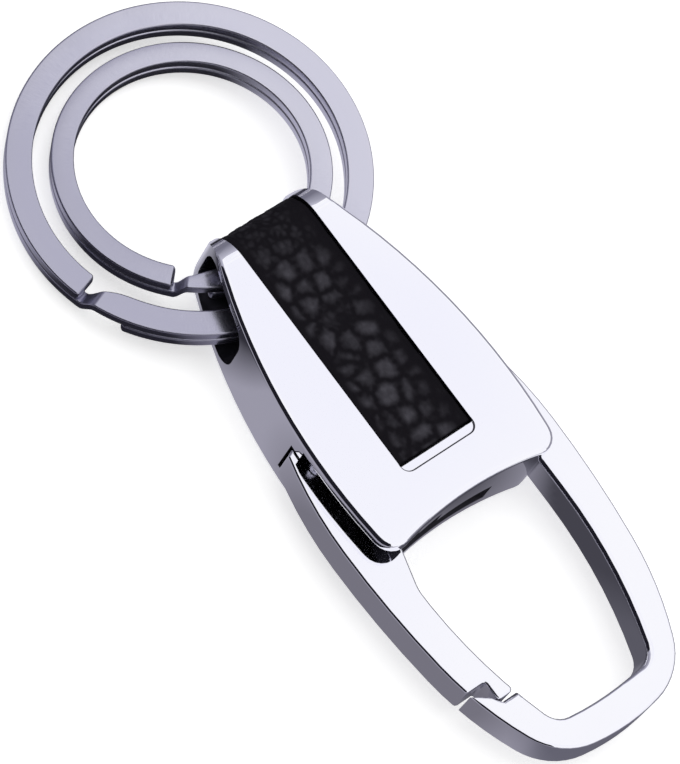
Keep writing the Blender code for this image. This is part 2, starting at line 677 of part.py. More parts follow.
def gate_outline():
    """The gate: round root about the pivot, a bar along the hook's line, a shoulder and a tongue."""
    heel_y = PIVOT.y + GATE_HEEL_UP
    outer = mirrored(between(hook_outer_edge(), heel_y, GATE_SHOULDER))
    root = arc(PIVOT, GATE_ROOT_RADIUS, *GATE_ROOT_ARC)
    bar_x = outer[-1][0]
    waist = PIVOT.y - GATE_TAPER_LENGTH
    inner = mirrored(between(hook_inner_edge(), waist, GATE_TONGUE_END))
    tongue_x = -x_at(hook_inner_edge(), GATE_TONGUE_END) - GATE_TONGUE_WIDTH
    root_side = (PIVOT.x + GATE_ROOT_RADIUS, SPRING_Y - SPRING_OUTER_RADIUS)
    corners = [(x, y, 0.0) for x, y in root]
    corners += [(*root_side, EDGE_ROUND), (*inner[0], GATE_WAIST_RADIUS)]
    corners += [(x, y, 0.0) for x, y in inner[1:-1]]
    corners += [(*inner[-1], GATE_CORNER_RADIUS), (tongue_x, GATE_TONGUE_END, GATE_CORNER_RADIUS)]
    corners += [(tongue_x, GATE_SHOULDER, EDGE_ROUND), (bar_x, GATE_SHOULDER, GATE_CORNER_RADIUS)]
    corners += [(x, y, 0.0) for x, y in outer[::-1][1:-1]]
    corners.append((*outer[0], EDGE_ROUND))
    return rounded(corners)


def make_gate(material):
    """The sprung gate, with its origin on the pin's axis."""
    gate = slab("gate", [gate_outline()[::-1]], HOOK_LOW, HOOK_HIGH, EDGE_ROUND, PARTS)
    cut(gate, rod("gate_bore", PIN_RADIUS + PIN_CLEARANCE, (*PIVOT, -OVERSHOOT),
                  (*PIVOT, BODY_THICKNESS + OVERSHOOT)))
    pocket_end = SPRING_START - SEAT_GAP
    cut(gate, rod("gate_spring_pocket", SPRING_OUTER_RADIUS + SEAT_GAP, (pocket_end, SPRING_Y, HOOK_MIDDLE),
                  (pocket_end + SPRING_LENGTH, SPRING_Y, HOOK_MIDDLE)))
    return put_origin(finish(gate, material), Vector((*PIVOT, HOOK_MIDDLE)))


def put_origin(obj, place):
    """Moves a part's origin to a point, such as one on its joint's axis, and leaves its shape where it is."""
    obj.data.transform(Matrix.Translation(-place))
    obj.location = place
    return obj


def make_gate_pin(material):
    """The pin that the gate turns on, chamfered at both ends."""
    top = BODY_THICKNESS - FRONT_WALL + PIN_BLIND_DEPTH - SEAT_GAP
    radius = PIN_RADIUS
    chamfer = PIN_CHAMFER
    profile = [(0.0, top), (radius - chamfer, top), (radius, top - chamfer), (radius, PIN_RECESS + chamfer),
               (radius - chamfer, PIN_RECESS), (0.0, PIN_RECESS)]
    return finish(turned("gate_pin", profile, PIVOT, PARTS), material)


def make_gate_spring(material):
    """The coil spring between the gate's pocket and the seat, as one unbroken tube along X."""
    radius = SPRING_OUTER_RADIUS - SPRING_WIRE_RADIUS
    run = SPRING_LENGTH - 2 * SPRING_WIRE_RADIUS
    count = SPRING_TURNS * SPRING_STEPS
    curve = bpy.data.curves.new("gate_spring", "CURVE")
    curve.dimensions = "3D"
    curve.bevel_depth = SPRING_WIRE_RADIUS
    curve.bevel_resolution = 1
    curve.use_fill_caps = True
    spline = curve.splines.new("POLY")
    spline.points.add(count)
    for i, point in enumerate(spline.points):
        turn = 2 * math.pi * i / SPRING_STEPS
        x = SPRING_START + SPRING_WIRE_RADIUS + run * i / count
        point.co = (x, SPRING_Y + radius * math.cos(turn), HOOK_MIDDLE + radius * math.sin(turn), 1.0)
    spring = bpy.data.objects.new("gate_spring_path", curve)
    bpy.context.scene.collection.objects.link(spring)
    gap = run / SPRING_TURNS - 2 * SPRING_WIRE_RADIUS
    print(f"gate_spring: least gap between turns {gap / MM:.2f} mm")
    return finish(add_object("gate_spring", as_mesh(spring, "gate_spring"), PARTS), material)


# Back cover and screws

def screw_profile(grow):
    """A countersunk screw's profile, grown by a clearance, from its far end down to the edge of its head."""
    radius = SCREW_RADIUS + grow
    neck = SCREW_RECESS + SCREW_HEAD_HEIGHT
    end = SCREW_RECESS + SCREW_LENGTH
    return [(0.0, end), (radius - SCREW_CHAMFER, end), (radius, end - SCREW_CHAMFER), (radius, neck),
            (SCREW_HEAD_RADIUS + grow, SCREW_RECESS)]


def make_screw(name, place, material):
    """A slotted countersunk screw that holds the back cover."""
    screw = turned(name, [*screw_profile(0.0), (0.0, SCREW_RECESS)], place, PARTS)
    half = SCREW_SLOT_WIDTH / 2
    reach = SCREW_HEAD_RADIUS + OVERSHOOT
    corners = box_corners(place.x - reach, place.x + reach, place.y - half, place.y + half)
    cut(screw, slab(name + "_slot", [rounded(corners)], -OVERSHOOT, SCREW_RECESS + SCREW_SLOT_DEPTH))
    return finish(screw, material)


def make_back_cover(material):
    """The plate let into the back, with two countersunk holes."""
    cover = slab("back_cover", [cover_outline(0.0)], 0.0, COVER_THICKNESS, EDGE_ROUND / 2, PARTS)
    for name, place in (("upper", UPPER_SCREW), ("lower", LOWER_SCREW)):
        profile = screw_profile(PIN_CLEARANCE)
        profile += [(profile[-1][0], -OVERSHOOT), (0.0, -OVERSHOOT)]
        cut(cover, turned("countersink_" + name, profile, place))
    return finish(cover, material)


# Leather strip

def make_leather_strip(material):
    """The strip of leather in its bed, from the front end over the tip to the back end."""
    top = STRIP_SINK
    bed = STRIP_SINK + STRIP_THICKNESS
    outer = tip_path(top)
    inner = tip_path(bed)
    back_end = TIP - TIP_EDGE_RADIUS - STRIP_BACK_LENGTH
    outline = [(STRIP_FRONT_END, BODY_THICKNESS - top), *outer, (back_end, top), (back_end, bed),
               *inner[::-1], (STRIP_FRONT_END, BODY_THICKNESS - bed)]
    half = STRIP_WIDTH / 2
    return finish(slab("leather_strip", [outline], -half, half, 0.0, PARTS, "X"), material)


# Split rings

def wire_section(name, width, thickness):
    """The flat wire's section: a rectangle with its corners taken off."""
    curve = bpy.data.curves.new(name, "CURVE")
    curve.dimensions = "2D"
    spline = curve.splines.new("POLY")
    half = width / 2
    rise = thickness / 2
    chamfer = WIRE_CHAMFER
    points = [(half, rise - chamfer), (half - chamfer, rise), (chamfer - half, rise), (-half, rise - chamfer),
              (-half, chamfer - rise), (chamfer - half, -rise), (half - chamfer, -rise), (half, chamfer - rise)]
    spline.points.add(len(points) - 1)
    for point, (x, y) in zip(spline.points, points):
        point.co = (x, y, 0.0, 1.0)
    spline.use_cyclic_u = True
    return add_object(name, curve, CUTTERS)


def layer_height(turned_by, step):
    """The wire's height along a split ring: low, then over the jog, then high."""
    along = (turned_by - (360.0 - RING_JOG + RING_END_GAP)) / (RING_JOG - 2 * RING_END_GAP)
    along = min(1.0, max(0.0, along))
    return step * (along * along * (3 - 2 * along) - 0.5)


def ring_dip(radius, arm, thickness, roll):
    """The downward tilt, in radians, at which a rolled ring's far edge meets the floor."""
    steep = math.radians(STEEPEST_DIP)
    level = 0.0
    for _ in range(DIP_STEPS):
        dip = (steep + level) / 2
        centre = MID_HEIGHT + arm * math.sin(dip) * math.cos(roll)
        upright = math.cos(dip) * math.cos(roll)
        low = centre - radius * math.sqrt(1 - upright**2) - thickness / 2 * upright
        if low < FLOOR_GAP:
            steep = dip
        else:
            level = dip
    return level


def make_split_ring(name, radius, width, thickness, slot_y, end_angle, roll, yaw, material):
    """A flat-wire split ring of two layers, with its origin on the line it swings about in the slot.

    The wire starts after the jog in the low layer, passes the slot, comes round, climbs and goes round
    again in the high layer. Angles are measured from +X, and the slot is at 270 degrees.
    """
    middle = radius - width / 2
    step = thickness + LAYER_GAP
    shift = RING_HINGE_SHARE * sag(middle, body_half_width(slot_y))
    arm = middle - shift
    total = 720.0 - RING_JOG
    count = round(RING_STEPS * total / 360.0)
    curve = bpy.data.curves.new(name, "CURVE")
    curve.dimensions = "3D"
    curve.twist_mode = "Z_UP"
    curve.bevel_mode = "OBJECT"
    curve.bevel_object = wire_section(name + "_section", width, thickness)
    curve.use_fill_caps = True
    spline = curve.splines.new("POLY")
    spline.points.add(count)
    for i, point in enumerate(spline.points):
        turned_by = total * i / count
        angle = math.radians(end_angle + RING_JOG + turned_by)
        point.co = (middle * math.cos(angle), arm + middle * math.sin(angle), layer_height(turned_by, step), 1.0)
    path = bpy.data.objects.new(name + "_path", curve)
    bpy.context.scene.collection.objects.link(path)
    ring = add_object(name, as_mesh(path, name), PARTS)
    roll = math.radians(roll)
    ring.location = (0.0, slot_y + shift, MID_HEIGHT)
    ring.rotation_euler = (ring_dip(radius, arm, step + thickness, roll), -roll, math.radians(yaw))
    print(f"{name}: gap between its layers {LAYER_GAP / MM:.2f} mm")
    return finish(ring, material)


# The whole object

def lay_down(parts):
    """Parents parts and cutters to one empty, moved so that the origin is under the object's middle."""
    bpy.context.view_layer.update()
    corners = [part.matrix_world @ vertex.co for part in parts for vertex in part.data.vertices]
    corners += [Vector((x, y, 0.0)) for x, y in hook_outer_edge()]
    middle = [(min(c[k] for c in corners) + max(c[k] for c in corners)) / 2 for k in (0, 1)]
    frame = add_object("keychain_frame", None, PARTS)
    for obj in [*parts, *bpy.data.collections[CUTTERS].objects]:
        obj.parent = frame
    frame.location = (-middle[0], -middle[1], 0.0)
    print(f"moved by {-middle[0] / MM:.3f}, {-middle[1] / MM:.3f} mm to centre the object")


def main():
    clear_scene()
    chrome = make_material("polished_chrome", (0.80, 0.79, 0.83), 0.08, 1.0)
    steel = make_material("plated_steel", (0.62, 0.61, 0.66), 0.2, 1.0)
    spring_steel = make_material("spring_steel", (0.45, 0.45, 0.47), 0.35, 1.0)
    leather = make_material("black_leather", (0.012, 0.012, 0.014), 0.6, 0.0)
    parts = [
        make_body_shell(chrome),
        make_back_cover(chrome),
        make_screw("cover_screw_upper", UPPER_SCREW, steel),
        make_screw("cover_screw_lower", LOWER_SCREW, steel),
        make_leather_strip(leather),
        make_gate(chrome),
        make_gate_pin(steel),
        make_gate_spring(spring_steel),
        make_split_ring("large_ring", LARGE_RING_RADIUS, LARGE_WIRE_WIDTH, LARGE_WIRE_THICKNESS, LARGE_RING_Y,
                        LARGE_RING_END, LARGE_RING_ROLL, LARGE_RING_YAW, steel),
        make_split_ring("small_ring", SMALL_RING_RADIUS, SMALL_WIRE_WIDTH, SMALL_WIRE_THICKNESS, SMALL_RING_Y,
                        SMALL_RING_END, SMALL_RING_ROLL, SMALL_RING_YAW, steel),
    ]
    lay_down(parts)


main()
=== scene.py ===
# %% [markdown]
# # A leather keychain, dressed
#
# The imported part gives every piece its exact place. This script gives the pieces their looks: mirror
# chrome on the casting and its gate, drawn and tumbled steel on the split rings, and a strip of pebbled
# leather. It then sets up a plain pale studio and the camera that took the photograph.

# %% The frame
import json
import math

import bmesh
import bpy
import numpy as np
from mathutils import Matrix, Vector


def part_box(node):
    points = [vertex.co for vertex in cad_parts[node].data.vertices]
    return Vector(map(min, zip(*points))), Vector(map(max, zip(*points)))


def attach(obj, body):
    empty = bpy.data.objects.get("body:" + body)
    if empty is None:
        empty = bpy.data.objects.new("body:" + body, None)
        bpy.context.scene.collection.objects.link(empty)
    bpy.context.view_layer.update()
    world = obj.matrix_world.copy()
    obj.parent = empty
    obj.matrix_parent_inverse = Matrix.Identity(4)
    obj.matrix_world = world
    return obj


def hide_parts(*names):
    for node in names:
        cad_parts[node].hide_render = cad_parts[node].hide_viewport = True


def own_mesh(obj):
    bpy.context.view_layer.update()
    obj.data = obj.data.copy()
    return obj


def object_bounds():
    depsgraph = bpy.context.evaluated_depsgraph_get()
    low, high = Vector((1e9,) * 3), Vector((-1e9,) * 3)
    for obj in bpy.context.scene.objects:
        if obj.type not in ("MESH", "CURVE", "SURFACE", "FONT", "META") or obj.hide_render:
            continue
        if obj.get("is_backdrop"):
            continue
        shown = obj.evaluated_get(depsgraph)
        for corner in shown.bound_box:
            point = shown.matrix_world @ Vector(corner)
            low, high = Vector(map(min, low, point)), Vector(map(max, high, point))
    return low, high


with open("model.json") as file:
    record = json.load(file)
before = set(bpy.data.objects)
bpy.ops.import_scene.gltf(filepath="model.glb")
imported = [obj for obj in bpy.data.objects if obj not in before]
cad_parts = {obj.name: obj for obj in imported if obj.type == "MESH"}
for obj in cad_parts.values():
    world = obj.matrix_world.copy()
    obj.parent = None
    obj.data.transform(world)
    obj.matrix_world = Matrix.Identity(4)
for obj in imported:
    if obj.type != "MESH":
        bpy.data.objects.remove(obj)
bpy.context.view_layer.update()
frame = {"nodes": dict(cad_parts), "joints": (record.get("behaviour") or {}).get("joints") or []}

MM = 0.001

# %% [markdown]
# ## Helpers for materials
#
# A colour is given in sRGB, as a hex value, but a shader wants linear light, so one function
# turns one into the other. A second one adds a node, sets it up and links it, so that each material
# below reads as a list of what it is made of, and a third one begins a material. A Mix node has sockets
# of the same names for numbers and for colours, so those for colours are called by their places in the
# list.

# %% Colours and nodes
COLOUR_A, COLOUR_B, COLOUR_OUT = 6, 7, 2


def linear(code):
    """A hex colour as linear red, green and blue, the sRGB curve undone channel by channel, and alpha 1."""
    share = np.array([int(code[i:i + 2], 16) for i in (1, 3, 5)]) / 255
    return (*np.where(share <= 0.04045, share / 12.92, ((share + 0.055) / 1.055) ** 2.4), 1.0)


def add(tree, kind, inputs=None, **settings):
    """A new node: its settings, then its inputs, each a number, a colour or another node's output."""
    node = tree.nodes.new(kind)
    for name, value in settings.items():
        setattr(node, name, value)
    for name, value in (inputs or {}).items():
        if isinstance(value, bpy.types.NodeSocket):
            tree.links.new(value, node.inputs[name])
        else:
            node.inputs[name].default_value = value
    return node


def principled(name):
    """A new material and its Principled shader."""
    material = bpy.data.materials.new(name)
    material.use_nodes = True
    return material, material.node_tree, material.node_tree.nodes["Principled BSDF"]

# %% [markdown]
# ## Mirror chrome on die-cast zinc
#
# The casting is zinc, polished on a wheel, then plated with copper, nickel and chromium. Chromium is a
# slightly blue white metal, and a good plating is a mirror, so nearly all that one sees of it is the
# studio. What tells it from a perfect mirror is small: the wheel leaves a faint waviness some
# millimetres long, hair-fine rubbing marks come with use, and fingers leave a dull bloom. The wheel can't
# reach into the rings' slot, the gate's bay or the lip at the strip's end, so the plating there lies matt
# over the skin of the casting, and those faces are also painted dark grey: painted shade in the
# recesses. An attribute of the mesh says which faces those are.

# %% Chrome
BLOOM = 6 * MM
WAVE = 5 * MM
RUBBING = (0.12 * MM, 3 * MM, 0.5 * MM)
RUBBING_TURN = 0.5  # radians
BRIGHT_ROUGHNESS = (0.03, 0.08)
MATT_ROUGHNESS = 0.5


def make_chrome():
    """Chrome plating: a metal mirror with a faint waviness, fine rubbing marks and a bloom in its gloss."""
    material, tree, shader = principled("chrome_plated_zinc")
    unpolished_and_shaded = add(tree, "ShaderNodeAttribute", attribute_name="unpolished_and_shaded").outputs["Fac"]
    place = add(tree, "ShaderNodeTexCoord").outputs["Object"]
    bloom = add(tree, "ShaderNodeTexNoise", {"Vector": place, "Scale": 1 / BLOOM, "Detail": 3.0})
    gloss = add(tree, "ShaderNodeMapRange", {"Value": bloom.outputs["Fac"], "From Min": 0.3, "From Max": 0.7,
                                             "To Min": BRIGHT_ROUGHNESS[0], "To Max": BRIGHT_ROUGHNESS[1]})
    along = add(tree, "ShaderNodeMapping", {"Vector": place, "Rotation": (0.0, 0.0, RUBBING_TURN),
                                            "Scale": tuple(1 / size for size in RUBBING)})
    rubbed = add(tree, "ShaderNodeTexNoise", {"Vector": along.outputs["Vector"], "Scale": 1.0,
                                              "Detail": 2.0})
    waves = add(tree, "ShaderNodeTexNoise", {"Vector": place, "Scale": 1 / WAVE, "Detail": 1.0})
    fine = add(tree, "ShaderNodeBump", {"Height": rubbed.outputs["Fac"], "Strength": 0.02,
                                        "Distance": 0.004 * MM})
    wavy = add(tree, "ShaderNodeBump", {"Height": waves.outputs["Fac"], "Strength": 0.1,
                                        "Distance": 0.02 * MM, "Normal": fine.outputs["Normal"]})
    rough = add(tree, "ShaderNodeMix", {"Factor": unpolished_and_shaded, "A": gloss.outputs["Result"],
                                        "B": MATT_ROUGHNESS})
    # Painted shade: the unpolished faces in the recesses take a dark grey colour.
    colour = add(tree, "ShaderNodeMix", {"Factor": unpolished_and_shaded, COLOUR_A: linear("#f9f9fe"),
                                         COLOUR_B: linear("#45444b")}, data_type="RGBA")
    tree.links.new(colour.outputs[COLOUR_OUT], shader.inputs["Base Color"])
    tree.links.new(rough.outputs["Result"], shader.inputs["Roughness"])
    tree.links.new(wavy.outputs["Normal"], shader.inputs["Normal"])
    shader.inputs["Metallic"].default_value = 1.0
    return material


chrome = make_chrome()
print("made", chrome.name)

# %% [markdown]
# ## Steel of the rings, screws and pins
#
# A split ring is flat steel wire wound twice round, nickel-plated and then tumbled in a barrel. It is
# duller and greyer than the casting, and fine marks lie across the wire, as tumbling leaves them. They
# turn with the ring, so they are drawn on the wire's own map: U along it, V around it. The barrel scuffs
# the wire's soft edges most, so these are duller than the flat faces. Every steel here is also painted a
# little darker towards the gate's side, where X is low: that is painted shade.

# %% Steels
# painted shade: over this span of X the steels' tone falls towards low X
SIDE_SHADE_SPAN = 14 * MM
EDGE_SCUFF = 0.6
GLOSS_DRIFT = 0.06
CROSS_MARKS = (3000.0, 60.0)  # how many along the wire, and round it


def make_steel(name, dark, light, gloss, grit, marks=None):
    """Plated steel: grey metal with a soft gloss, and fine marks on the piece's own map where it has one.

    The roughness is the gloss, a little up or down with the grain, plus a share of z times one minus z,
    where z is how far the surface faces up or down: nought on flat faces and on sheer sides, most on the
    soft edges between them.
    """
    material, tree, shader = principled(name)
    place = add(tree, "ShaderNodeTexCoord")
    tumbled = add(tree, "ShaderNodeTexNoise", {"Vector": place.outputs["Object"], "Scale": 1 / grit,
                                               "Detail": 4.0})
    height = tumbled.outputs["Fac"]
    if marks is not None:
        stretched = add(tree, "ShaderNodeMapping", {"Vector": place.outputs["UV"], "Scale": (*marks, 1.0)})
        marked = add(tree, "ShaderNodeTexNoise", {"Vector": stretched.outputs["Vector"], "Scale": 1.0,
                                                  "Detail": 3.0})
        both = add(tree, "ShaderNodeMix", {"Factor": 0.5, "A": height, "B": marked.outputs["Fac"]})
        height = both.outputs["Result"]
    # Painted shade: the tone drifts darker towards low X.
    side = add(tree, "ShaderNodeSeparateXYZ", {"Vector": place.outputs["Object"]})
    tone_drift = add(tree, "ShaderNodeMapRange", {"Value": side.outputs["X"], "From Min": -SIDE_SHADE_SPAN,
                                            "From Max": SIDE_SHADE_SPAN, "To Min": -0.5, "To Max": 0.5})
    shade = add(tree, "ShaderNodeMath", {0: height, 1: tone_drift.outputs["Result"]})
    tone = add(tree, "ShaderNodeMapRange", {"Value": shade.outputs[0], "From Min": 0.1, "From Max": 0.9})
    colour = add(tree, "ShaderNodeMix", {"Factor": tone.outputs["Result"], COLOUR_A: linear(dark),
                                         COLOUR_B: linear(light)}, data_type="RGBA")
    facing = add(tree, "ShaderNodeSeparateXYZ", {"Vector": place.outputs["Normal"]})
    flat = add(tree, "ShaderNodeMath", {0: facing.outputs["Z"]}, operation="ABSOLUTE")
    steep = add(tree, "ShaderNodeMath", {0: 1.0, 1: flat.outputs[0]}, operation="SUBTRACT")
    edge = add(tree, "ShaderNodeMath", {0: flat.outputs[0], 1: steep.outputs[0]}, operation="MULTIPLY")
    scuffed = add(tree, "ShaderNodeMath", {0: edge.outputs[0], 1: EDGE_SCUFF, 2: gloss},
                  operation="MULTIPLY_ADD")
    uneven = add(tree, "ShaderNodeMapRange", {"Value": height, "To Min": -GLOSS_DRIFT,
                                              "To Max": GLOSS_DRIFT})
    rough = add(tree, "ShaderNodeMath", {0: scuffed.outputs[0], 1: uneven.outputs["Result"]})
    bump = add(tree, "ShaderNodeBump", {"Height": height, "Strength": 0.06, "Distance": 0.01 * MM})
    tree.links.new(colour.outputs[COLOUR_OUT], shader.inputs["Base Color"])
    tree.links.new(rough.outputs[0], shader.inputs["Roughness"])
    tree.links.new(bump.outputs["Normal"], shader.inputs["Normal"])
    shader.inputs["Metallic"].default_value = 1.0
    return material


ring_steel = make_steel("tumbled_nickel_plated_steel", "#b5b4c4", "#d4d3df", gloss=0.22, grit=6.0 * MM,
                        marks=CROSS_MARKS)
screw_steel = make_steel("turned_nickel_plated_steel", "#a9a8b2", "#bab9c3", gloss=0.2, grit=0.15 * MM)
spring_steel = make_steel("drawn_spring_wire", "#6e6e74", "#85858c", gloss=0.3, grit=0.08 * MM)
print("made", ring_steel.name, screw_steel.name, spring_steel.name)

# %% [markdown]
# ## Smooth copies of the cast and turned pieces
#
# The frame's pieces are loose triangles, each shaded flat. On paint nobody would see it, but a mirror
# shows every facet. So each of these pieces is copied with its points merged, shaded smoothly except
# across real corners, and its normals are weighted by area, which keeps the flat faces flat next to
# their rounded edges. The copy has the same shape, and stands for the frame's piece.

# %% A smooth copy
WELD = 0.0001 * MM
SLIVER = 0.0005 * MM
LEVEL = 0.2  # degrees


def smooth_copy(node, name, body, material, crease):
    """A copy of a frame piece with merged points: corners that are equal to within a weld become one."""
    source = frame["nodes"][node].data
    corners = np.empty(len(source.vertices) * 3, np.float32)
    source.vertices.foreach_get("co", corners)
    triangles = np.empty(len(source.loops), np.int32)
    source.loops.foreach_get("vertex_index", triangles)
    keys = np.round(corners.reshape(-1, 3) / WELD).astype(np.int64)
    kept, index = np.unique(keys, axis=0, return_inverse=True)
    mesh = bpy.data.meshes.new(name)
    mesh.from_pydata(kept * WELD, [], index.reshape(-1)[triangles].reshape(-1, 3))
    shape = bmesh.new()
    shape.from_mesh(mesh)
    bmesh.ops.dissolve_degenerate(shape, dist=SLIVER, edges=shape.edges)
    bmesh.ops.dissolve_limit(shape, angle_limit=math.radians(LEVEL), verts=shape.verts, edges=shape.edges)
    shape.to_mesh(mesh)
    shape.free()
    mesh.materials.append(material)
    mesh.shade_smooth()
    mesh.set_sharp_from_angle(angle=math.radians(crease))
    piece = bpy.data.objects.new(name, mesh)
    bpy.context.scene.collection.objects.link(piece)
    weighted = piece.modifiers.new("flat_faces_stay_flat", "WEIGHTED_NORMAL")
    weighted.keep_sharp = True
    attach(piece, body)
    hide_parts(node)
    print(name, "has", len(mesh.polygons), "faces")
    return piece


casting = smooth_copy("body_shell", "casting", "casting", chrome, crease=46)
smooth_copy("back_cover", "cover_plate", "casting", chrome, crease=50)
smooth_copy("gate", "sprung_gate", "gate_arm", chrome, crease=50)
for node, name in (("cover_screw_upper", "upper_screw"), ("cover_screw_lower", "lower_screw"),
                   ("gate_pin", "hinge_pin")):
    smooth_copy(node, name, "casting", screw_steel, crease=30)

# %% [markdown]
# ## Where the polishing wheel can't reach, and where shade is painted
#
# Each such place lies in a box. A box also takes in faces that the wheel does reach, and these are told
# apart by the way they face, along one axis for each box.

# %% Unpolished faces, with painted shade
OUT_OF_REACH_AND_SHADED = (  # the place, its box in mm, an axis, and the most that a face may face along it
    ("slot", (-9.0, 5.5, 1.1), (10.0, 15.4, 8.2), 0, 0.5),
    ("bay", (-9.9, -18.0, 1.2), (1.5, -2.5, 7.85), 1, 0.93),
    ("lip", (-5.5, -12.6, 8.6), (6.5, -9.6, 9.4), 2, 0.95))

middles = np.empty(3 * len(casting.data.polygons), np.float32)
facing = np.empty_like(middles)
casting.data.polygons.foreach_get("center", middles)
casting.data.polygons.foreach_get("normal", facing)
middles, facing = middles.reshape(-1, 3), facing.reshape(-1, 3)
# Painted shade and matt finish: the faces marked here are painted dark and made rough.
unpolished_and_shaded = np.zeros(len(middles), np.float32)
for where, low, high, axis, most in OUT_OF_REACH_AND_SHADED:
    boxed = np.all((middles > np.array(low) * MM) & (middles < np.array(high) * MM), axis=1)
    found = boxed & (abs(facing[:, axis]) < most)
    unpolished_and_shaded[found] = 1.0
    print("unpolished faces in the", where, int(found.sum()))
casting.data.attributes.new("unpolished_and_shaded", "FLOAT", "FACE").data.foreach_set("value", unpolished_and_shaded)

# %% [markdown]
# ## Surfaces on a grid
#
# Each new piece below is a profile carried along a path. That gives a grid of points with one row for
# each place on the path, and the faces between the rows are the same for every such piece. The two ends
# are closed with one face each. A map goes with it: U is the share of the path, V the share round it.
# Two curves come back in several pieces: a step without a kink, and the drop of a rounded rim.

# %% A profile carried along a path
CREASE = 60  # degrees


def swept(name, points, material, body, node):
    """A closed tube from points[row, column, xyz]: each face joins a column to the next, row to row."""
    rows, columns = points.shape[:2]
    here = np.arange(rows * columns).reshape(rows, columns)
    beside = np.roll(here, -1, axis=1)
    quads = np.stack([here[:-1], beside[:-1], beside[1:], here[1:]], axis=-1).reshape(-1, 4)
    caps = [here[0][::-1].tolist(), here[-1].tolist()]
    mesh = bpy.data.meshes.new(name)
    mesh.from_pydata(points.reshape(-1, 3), [], quads.tolist() + caps)
    u = np.broadcast_to(np.linspace(0, 1, rows)[:, None], (rows, columns))
    v = np.broadcast_to(np.linspace(0, 1, columns, endpoint=False)[None, :], (rows, columns))
    order = np.empty(len(mesh.loops), np.int32)
    mesh.loops.foreach_get("vertex_index", order)
    layer = mesh.uv_layers.new(name="along_and_round")
    layer.uv.foreach_set("vector", np.stack([u.reshape(-1)[order], v.reshape(-1)[order]], axis=-1).ravel())
    mesh.materials.append(material)
    mesh.shade_smooth()
    mesh.set_sharp_from_angle(angle=math.radians(CREASE))
    piece = bpy.data.objects.new(name, mesh)
    bpy.context.scene.collection.objects.link(piece)
    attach(piece, body)
    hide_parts(node)
    print(name, "has", len(mesh.polygons), "faces")
    return piece


def soft_box(width, height, radius, steps):
    """A rounded rectangle: four quarter circles, whose straight runs are the gaps between them."""
    quarter = np.linspace(0, math.pi / 2, steps)
    angles = (quarter[None, :] + np.arange(4)[:, None] * math.pi / 2).ravel()
    middles = np.repeat(np.array([[1, 1], [-1, 1], [-1, -1], [1, -1]]), steps, axis=0)
    reach = np.array([width / 2 - radius, height / 2 - radius])
    return middles * reach + radius * np.stack([np.cos(angles), np.sin(angles)], axis=-1)


def eased(share):
    """A step without a kink: the share held from 0 to 1, squared, times three less twice the share."""
    share = np.clip(share, 0, 1)
    return share * share * (3 - 2 * share)


def rim_drop(inset, radius):
    """How far a rounded rim has dropped at an inset from its edge: a quarter circle, then level."""
    return radius - np.sqrt(np.clip(radius**2 - np.clip(radius - inset, 0, None) ** 2, 0, None))

# %% [markdown]
# ## The split rings
#
# Each ring is one flat wire that goes round nearly twice. It starts in the lower layer, goes once
# round, climbs over its own start in a short jog, and goes round again in the upper layer. The rollers
# leave the wire's edges soft, the barrel rounds its two ends, and the press that forms the jog pinches
# the wire from its inner side, most of all next to the upper layer's end. Places along the wire are
# given in degrees of the turn here, because the jog is a share of a turn.

# %% Split rings
LAYER_GAP = 0.12 * MM
JOG = 15.0  # degrees, as are the next four
CLIMB_START = 0.6
CLIMB = 5.5
PINCH_RUN_UP = 2.0
JOG_ROWS = np.linspace(340, 365, 60)
WIRE_EDGE = 0.2 * MM
WIRE_CORNER_POINTS = 7
END_ROUND = 0.45 * MM
PINCH = 0.5  # of the wire's width
RING_ROWS = 520
END_ROWS = 7


def make_ring(name, node, body, joint, radius, width, thickness, arm, end, turn, fade):
    """A ring of two layers: the outer radius steady, the height an eased step over the jog.

    The ring's middle is an arm's length from its joint, and a turn lays the whole ring there. The upper
    layer ends at the angle called end. The inner side moves outwards by a bell curve over the angle past
    it, which fades by so many degrees, and the section shrinks by a quarter circle at the wire's ends.
    """
    pivot = Vector(next(j["pos_m"] for j in frame["joints"] if j["name"] == joint))
    total = 720.0 - JOG
    tight = np.linspace(0, 1, END_ROWS) ** 2 * math.degrees(END_ROUND / radius)
    turned = np.unique(np.concatenate([np.linspace(0, total, RING_ROWS), JOG_ROWS, tight, total - tight]))
    past = turned - (360.0 - JOG)
    height = (thickness + LAYER_GAP) * (eased((past - CLIMB_START) / CLIMB) - 0.5)
    narrow = PINCH * np.exp(-((past / np.where(past > 0, fade, PINCH_RUN_UP)) ** 2)) * width
    angle = np.radians(end + JOG + turned)
    middle = radius - width / 2 + narrow / 2
    outward = np.stack([np.cos(angle), np.sin(angle), np.zeros_like(angle)], axis=-1)
    path = middle[:, None] * outward
    path += np.stack([np.zeros_like(angle), np.full_like(angle, arm), height], axis=-1)
    shrink = rim_drop(np.radians(np.minimum(turned, total - turned)) * radius, END_ROUND)
    profile = soft_box(width, thickness, WIRE_EDGE, WIRE_CORNER_POINTS)
    across = profile[None, :, 0] * (1 - (narrow + 2 * shrink) / width)[:, None]
    points = path[:, None, :] + across[:, :, None] * outward[:, None, :]
    points[:, :, 2] += profile[None, :, 1] * (1 - 2 * shrink / thickness)[:, None]
    matrix = np.array(Matrix.Translation(pivot) @ turn)
    points = points @ matrix[:3, :3].T + matrix[:3, 3]
    swept(name, points[:, ::-1], ring_steel, body, node)


def tilted(dip, roll, yaw):
    """A ring's lie: dipped towards the floor, then rolled, then yawed, in degrees."""
    return (Matrix.Rotation(math.radians(yaw), 4, "Z") @ Matrix.Rotation(math.radians(roll), 4, "Y")
            @ Matrix.Rotation(math.radians(dip), 4, "X"))


